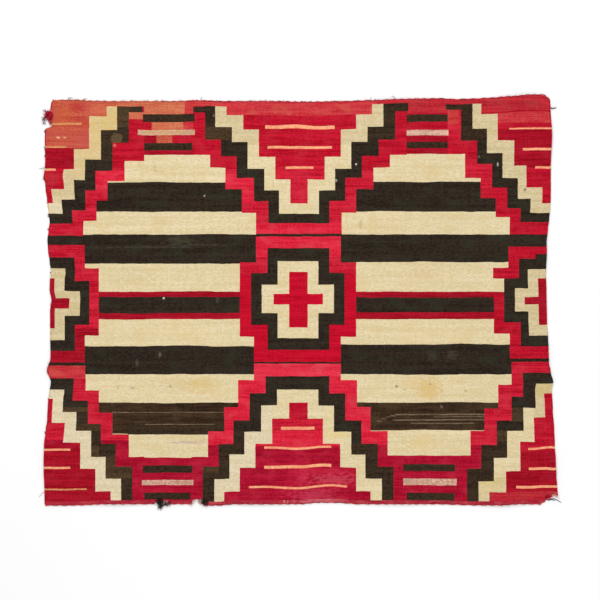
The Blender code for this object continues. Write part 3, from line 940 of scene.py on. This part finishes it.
def twined_cord(name, edge, start, end, materials):
    """Two strands twined round each other beside the web, in the colours of the edge."""
    twist = SIDE_TWIST if edge in ("left", "right") else END_TWIST
    step = twist / TWIST_POINTS
    count = int((end - start) * MM / step)
    offset = CORD_DIAMETER / 2 - STRAND_RADIUS
    curve = new_curve("twined_" + name, STRAND_RADIUS, materials)
    for strand in (0, 1):
        run = []
        colour = None
        for number in range(count + 1):
            place = start * MM + number * step
            scallop = 0.0
            if edge in ("top", "bottom"):
                scallop = 0.8 * MM * math.sin(place * 205 + 2.5 * math.sin(place * 17))
            x, y = edge_point(edge, place, CORD_DIAMETER / 2 + GAP / 2 + scallop)
            angle = math.tau * (number / TWIST_POINTS + strand / 2)
            angle += 0.6 * math.sin(place * 31)
            out = offset * math.cos(angle)
            if edge in ("left", "right"):
                x += out if edge == "right" else -out
            else:
                y += out if edge == "top" else -out
            z = CORD_DIAMETER / 2 + lift(x, y) + offset * math.sin(angle) + 0.2 * MM
            here = edge_yarn(edge, place)
            run.append((x, y, z))
            if colour is not None and here != colour:
                add_strand(curve, run, material_index=colour)
                run = [(x, y, z)]
            colour = here
        if len(run) > 1:
            add_strand(curve, run, material_index=colour)
    cord = add_object("twined_" + name, curve)
    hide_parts(name)
    return cord


# Loose ends along the edges: (colour, radius in mm, points in mm as (x, y))
LOOSE_ENDS = (
    ("dark", 1.0, ((-884, 460), (-892, 459), (-900, 457), (-907, 457))),
    ("dark", 1.6, ((-886, 430), (-890, 429), (-893, 428))),
    ("red", 1.5, ((-860, 384), (-863, 372), (-868, 358), (-876, 345), (-882, 337))),
    ("red", 1.5, ((-864, 384), (-870, 371), (-878, 358), (-880, 349))),
    ("pale", 0.9, ((-890, -663), (-897, -668), (-903, -675), (-908, -680))),
    ("dark", 0.9, ((-347, 692), (-347, 698), (-345, 703), (-341, 706))),
    ("dark", 0.7, ((240, 692), (241, 698), (243, 703), (242, 707))),
    ("dark", 0.8, ((325, 695), (325, 701), (322, 706), (317, 709), (313, 707))),
    ("dark", 2.2, ((864, 667), (872, 666), (879, 667), (885, 668))),
    ("pale", 1.1, ((862, -668), (870, -671), (880, -676), (889, -682), (896, -687))),
    ("dark", 0.9, ((-808, 699), (-802, 703), (-795, 703), (-789, 699))),
    ("dark", 0.9, ((-754, 696), (-748, 700), (-741, 698))),
)


def swaying_route(route, radius):
    """A loose end's route in mm: its own points and more between them, with a slight sway."""
    points = []
    for first, second in zip(route, route[1:]):
        for share in (0.0, 0.34, 0.67):
            points.append((first[0] + (second[0] - first[0]) * share,
                           first[1] + (second[1] - first[1]) * share))
    points.append(route[-1])
    spatial = []
    for number, (x, y) in enumerate(points):
        sway = 0.5 * math.sin(number * 1.9 + radius * 7)
        height = 1.8 + sway * 0.5 + lift(x * MM, y * MM) / MM * (1.0 - number / len(points))
        spatial.append((x + sway * 0.4, y + sway * 0.4, height))
    return spatial


def loose_yarn(name, strands, node_name):
    """A piece made of loose yarns that thin towards their tips: (colour, radius, points), in mm."""
    curve = new_curve(name, 1.0 * MM, LOOSE_MATERIALS)
    for colour, radius, points in strands:
        reaches = [radius * (1.0 - 0.55 * number / (len(points) - 1)) for number in range(len(points))]
        spatial = [(x * MM, y * MM, max(z, reach + 0.05) * MM)
                   for (x, y, z), reach in zip(points, reaches)]
        add_strand(curve, spatial, reaches, LOOSE_COLOURS.index(colour))
    piece = add_object(name, curve)
    if node_name:
        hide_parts(node_name)
    return piece


# Frayed places: (colour, x, y, half width, half height, fibres, length, heading, spread), in mm and
# degrees, the heading from +X
FRAYS = {
    "tuft_left": (
        ("red", -870, 641, 12, 17, 220, 12, 190, 80), ("red", -867, 617, 4, 6, 26, 9, 200, 60),
        ("dark", -884, 656, 4, 4, 7, 13, 150, 45), ("maroon", -886, 632, 5, 11, 22, 16, 200, 60),
        ("dark", -888, 617, 3, 5, 6, 11, 240, 45),
    ),
    "tuft_bottom_left": (
        ("black", -487, -697, 12, 12, 150, 13, 265, 80), ("black", -464, -700, 11, 7, 60, 11, 270, 90),
        ("black", -486, -712, 3, 4, 24, 13, 262, 20), ("red", -460, -704, 7, 4, 12, 8, 270, 60),
        ("pale", -470, -695, 8, 5, 14, 9, 290, 80),
    ),
    "tuft_bottom_middle": (
        ("black", -333, -697, 11, 10, 110, 11, 250, 90), ("black", -345, -692, 6, 4, 14, 12, 232, 35),
        ("pale", -350, -693, 9, 5, 22, 10, 255, 60), ("pale", -372, -694, 6, 5, 12, 9, 290, 50),
        ("red", -381, -700, 4, 6, 14, 9, 290, 50), ("red", -328, -705, 5, 4, 12, 7, 260, 60),
    ),
    "cord_tail_lower_right": (
        ("red", 856, -679, 11, 6, 34, 9, 300, 60), ("pale", 874, -674, 7, 3, 9, 17, 335, 14),
    ),
}
FUZZY_TOP = (-840, 340)      # the part of the upper edge where short ends stick out of the cord
TOP_ENDS = 46
SIDE_KNOTS = (588, 528, 501, 422, 295, 247, 98, -12, -250, -455)   # dark knots on the left side


def curly(chance, x, y, heading, length, height):
    """The points of one fibre that curls as it goes, in mm."""
    points = [(x, y, height)]
    bend = chance.uniform(-0.3, 0.3)
    for _ in range(max(int(length / 2.2), 3)):
        bend += chance.uniform(-0.4, 0.4)
        heading += bend
        x += 2.2 * math.cos(heading)
        y += 2.2 * math.sin(heading)
        height = max(height + chance.uniform(-0.55, 0.45), 0.9)
        points.append((x, y, height))
    return points


def frizz(rows, chance):
    """The fibres of a frayed place."""
    strands = []
    for colour, x, y, half_x, half_y, count, length, heading, spread in rows:
        for _ in range(count):
            angle = chance.uniform(0.0, math.tau)
            reach = math.sqrt(chance.random())
            start_x = x + half_x * reach * math.cos(angle)
            start_y = y + half_y * reach * math.sin(angle)
            ground = lift(start_x * MM, start_y * MM) / MM
            strands.append((colour, chance.uniform(0.4, 0.85), curly(
                chance, start_x, start_y, math.radians(heading + chance.uniform(-spread, spread)),
                length * chance.uniform(0.6, 1.2), ground + chance.uniform(3.9, 5.8))))
    return strands


def edge_fuzz(chance):
    """Short curled ends along the upper edge, and the knots of the left side cord."""
    strands = []
    for _ in range(TOP_ENDS):
        place = chance.uniform(*FUZZY_TOP)
        x, y = edge_point("top", place * MM, 0.7 * CORD_DIAMETER)
        for _ in range(chance.choice((1, 2, 3))):
            strands.append(("maroon", chance.uniform(0.4, 0.7), curly(
                chance, x / MM + chance.uniform(-2, 2), y / MM, math.radians(chance.uniform(20, 160)),
                chance.uniform(4, 8), 2.4 + lift(x, y) / MM)))
    for place in SIDE_KNOTS:
        x, y = edge_point("left", place * MM, 0.6 * CORD_DIAMETER)
        for _ in range(6):
            strands.append(("maroon", chance.uniform(0.6, 1.0), curly(
                chance, x / MM, y / MM + chance.uniform(-4, 4), math.radians(chance.uniform(110, 250)),
                chance.uniform(4, 7), 2.6 + lift(x, y) / MM)))
    return strands


# ---------------------------------------------------------------- building it

def build_blanket():
    web = build_web()
    cord_materials = [
        cord_material("crimson cord", dye(146, 14, 34), dye(206, 34, 58)),
        cord_material("ivory cord", dye(196, 172, 130), dye(232, 212, 168)),
        cord_material("black cord", dye(38, 30, 26), dye(64, 52, 46)),
        cord_material("faded end cord", dye(160, 74, 58), dye(212, 108, 82)),
        cord_material("lower end cord", dye(146, 28, 44), dye(200, 56, 68)),
    ]
    parts = [twined_cord(name, edge, start, end, cord_materials) for name, edge, start, end in CORD_RUNS]
    chance = random.Random(11)
    for name, slot in (("tuft_left", "loose_red_yarn"), ("tuft_bottom_left", "loose_dark_yarn"),
                       ("tuft_bottom_middle", "loose_dark_yarn")):
        parts.append(loose_yarn("frayed_" + name, frizz(FRAYS[name], chance), name))
    tail = [("dark", 1.7, swaying_route(CORD_TAIL, 1.7)),
            ("dark", 1.2, swaying_route(((850, -690), (860, -688), (870, -690), (880, -693)), 1.2))]
    tail += frizz(FRAYS["cord_tail_lower_right"], chance)
    parts.append(loose_yarn("frayed_cord_tail", tail, "cord_tail_lower_right"))
    ends = [(colour, radius, swaying_route(route, radius)) for colour, radius, route in LOOSE_ENDS]
    parts.append(loose_yarn("loose_thread_ends", ends + edge_fuzz(chance), None))


FLOOR_REACH = 12.0           # metres from the middle of the floor to its sides
FLOOR_DROP = 0.2 * MM        # the floor lies this far below the cloth


def build_floor():
    bm = bmesh.new()
    bmesh.ops.create_grid(bm, x_segments=1, y_segments=1, size=FLOOR_REACH)
    bmesh.ops.translate(bm, vec=(0.0, 0.0, -FLOOR_DROP), verts=list(bm.verts))
    mesh = bpy.data.meshes.new("pale_floor")
    bm.to_mesh(mesh)
    bm.free()
    material = bpy.data.materials.new("pale floor")
    material.use_nodes = True
    shader = material.node_tree.nodes["Principled BSDF"]
    shader.inputs["Base Color"].default_value = (0.9, 0.9, 0.9, 1.0)
    shader.inputs["Roughness"].default_value = 1.0
    shader.inputs["Specular IOR Level"].default_value = 0.0
    mesh.materials.append(material)
    floor = bpy.data.objects.new("pale_floor", mesh)
    bpy.context.scene.collection.objects.link(floor)


CAMERA_HEIGHT = 4.909        # with the lens below, takes in 2.079 m of the floor
CAMERA_LENS = 85.0
CAMERA_PLACE = (-3.5 * MM, 2.2 * MM)
SENSOR_WIDTH = 36.0          # mm
SKY_STRENGTH = 0.70
SOFT_BOX = 3.2               # metres along each side of a lamp


def add_light(name, place, target, size, energy):
    light = bpy.data.lights.new(name, "AREA")
    light.shape = "SQUARE"
    light.size = size
    light.energy = energy
    lamp = bpy.data.objects.new(name, light)
    lamp.location = place
    lamp.rotation_euler = (Vector(target) - Vector(place)).to_track_quat("-Z", "Y").to_euler()
    bpy.context.scene.collection.objects.link(lamp)


def build_studio():
    scene = bpy.context.scene
    scene.view_settings.view_transform = "Standard"
    world = bpy.data.worlds.new("studio")
    world.use_nodes = True
    world.node_tree.nodes["Background"].inputs["Color"].default_value = (1.0, 1.0, 1.0, 1.0)
    world.node_tree.nodes["Background"].inputs["Strength"].default_value = SKY_STRENGTH
    scene.world = world
    add_light("soft_box_upper", (-1.0, 3.2, 3.4), (0.0, 0.0, 0.0), SOFT_BOX, 110.0)
    add_light("soft_box_lower", (1.0, -3.2, 3.4), (0.0, 0.0, 0.0), SOFT_BOX, 55.0)
    data = bpy.data.cameras.new("camera")
    data.lens = CAMERA_LENS
    data.sensor_width = SENSOR_WIDTH
    camera = bpy.data.objects.new("camera", data)
    camera.location = (*CAMERA_PLACE, CAMERA_HEIGHT)
    scene.collection.objects.link(camera)
    scene.camera = camera


LOOSE_COLOURS = ("red", "dark", "pale", "black", "maroon")
LOOSE_MATERIALS = [
    cord_material("loose red wool", dye(140, 4, 30), dye(206, 24, 52)),
    cord_material("loose dark wool", dye(58, 40, 52), dye(104, 76, 88)),
    cord_material("loose pale wool", dye(196, 140, 132), dye(236, 196, 180)),
    cord_material("loose black wool", dye(28, 20, 18), dye(58, 44, 38)),
    cord_material("loose maroon wool", dye(84, 18, 36), dye(140, 44, 58)),
]

build_blanket()
build_floor()
build_studio()
